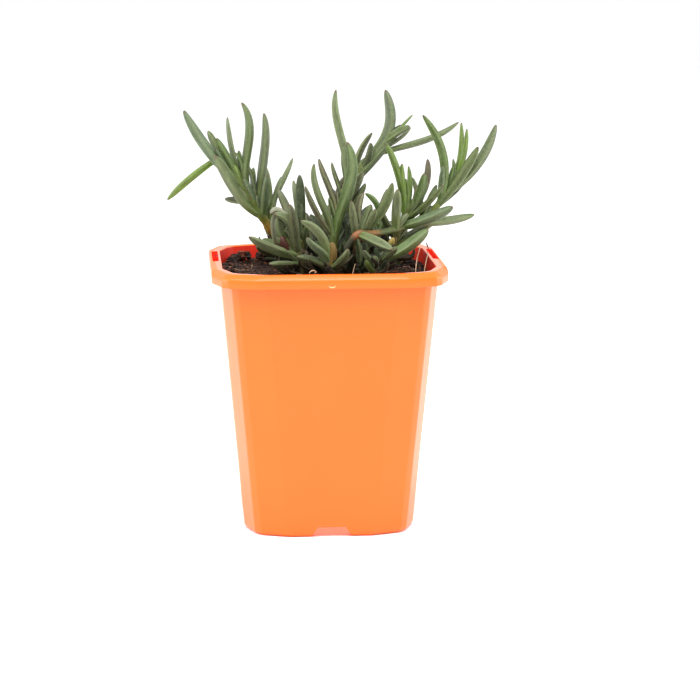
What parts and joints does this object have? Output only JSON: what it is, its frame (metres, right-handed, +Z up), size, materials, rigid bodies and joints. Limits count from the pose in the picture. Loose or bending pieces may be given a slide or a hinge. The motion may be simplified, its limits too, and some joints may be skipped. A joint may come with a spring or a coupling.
{
  "type": "potted ice plant",
  "caption": "Bushy succulent with slim keeled upright leaves on forked stems, rooted in bark soil in a square tapered nursery pot with soft corners and a rolled rim.",
  "frame": {"origin": "on the ground under the middle of the plant's overall reach; the pot's own axis stands 3.8 mm to the left of it", "axes": "+X to the right along the pot's front, +Y to its back, +Z up; X is the width of the plant, Z its height and Y the depth of the pot"},
  "size_m": [0.1442, 0.1, 0.1882],
  "materials": {
    "pot_plastic": "orange moulded polypropylene, satin",
    "potting_mix": "damp bark and fibre potting mix, matte",
    "leaf": "grey-green waxy succulent leaf, bloom-dulled"
  },
  "bodies": {
    "root": {"pot": "pot_plastic", "soil": "potting_mix", "stem_left": "leaf", "stem_low_left": "leaf", "stem_inner_left": "leaf", "stem_front_left": "leaf", "stem_centre": "leaf", "stem_upper_right": "leaf", "stem_middle": "leaf", "stem_middle_right": "leaf", "stem_right": "leaf", "stem_low_right": "leaf", "stem_back_left": "leaf", "stem_back": "leaf", "stem_back_right": "leaf"}
  },
  "joints": []
}
